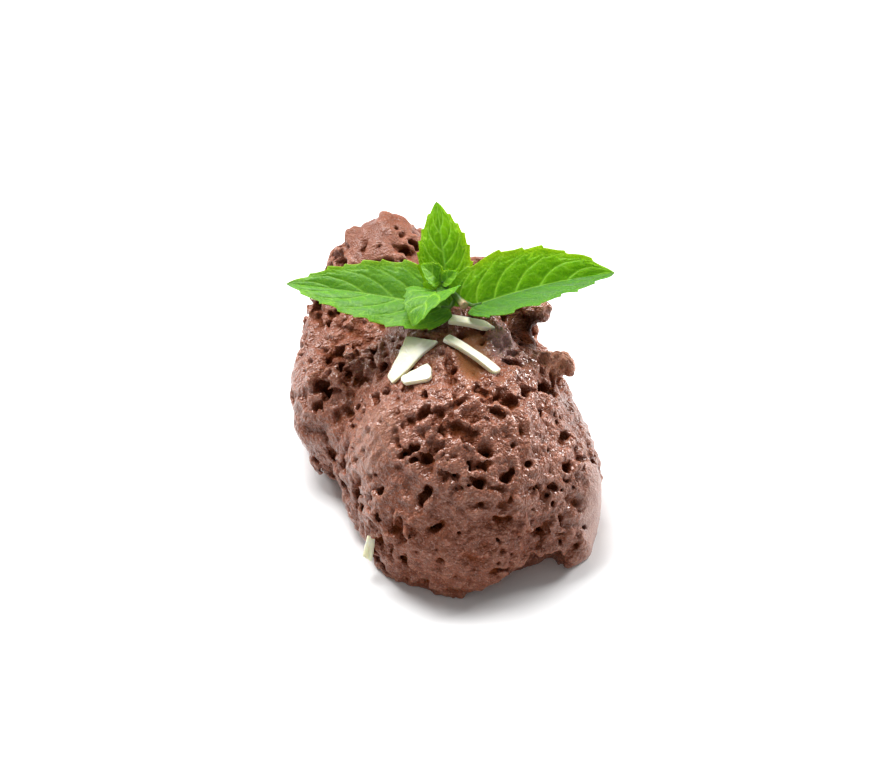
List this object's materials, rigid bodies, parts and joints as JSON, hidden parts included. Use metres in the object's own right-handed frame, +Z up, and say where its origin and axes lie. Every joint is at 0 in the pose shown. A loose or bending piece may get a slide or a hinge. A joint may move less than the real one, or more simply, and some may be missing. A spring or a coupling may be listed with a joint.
{
  "type": "chocolate mousse",
  "caption": "Rough spooned mound of airy chocolate mousse topped with a mint sprig and white chocolate shavings.",
  "frame": {"origin": "on the flat underside, below the crown of the mound that carries the mint sprig", "axes": "+Z up out of the flat underside, +Y along the mound's longest side from the low front foot to the back shoulder, +X to the right of someone facing the front foot"},
  "size_m": [0.0785, 0.0999, 0.0675],
  "materials": {
    "mousse": "airy chocolate mousse, moist and softly glossy",
    "mint_leaf": "fresh mint leaf, satin, slightly translucent",
    "mint_stem": "pale green stem, satin",
    "white_chocolate": "white chocolate, satin, slightly waxy"
  },
  "bodies": {
    "root": {"mousse": "mousse", "stem": "mint_stem", "leaf_right": "mint_leaf", "leaf_left": "mint_leaf", "leaf_back": "mint_leaf", "leaf_front": "mint_leaf", "leaf_bud_left": "mint_leaf", "leaf_bud_right": "mint_leaf", "shaving_long": "white_chocolate", "shaving_top": "white_chocolate", "shaving_left": "white_chocolate", "shaving_small": "white_chocolate", "shaving_chip": "white_chocolate"}
  },
  "joints": []
}
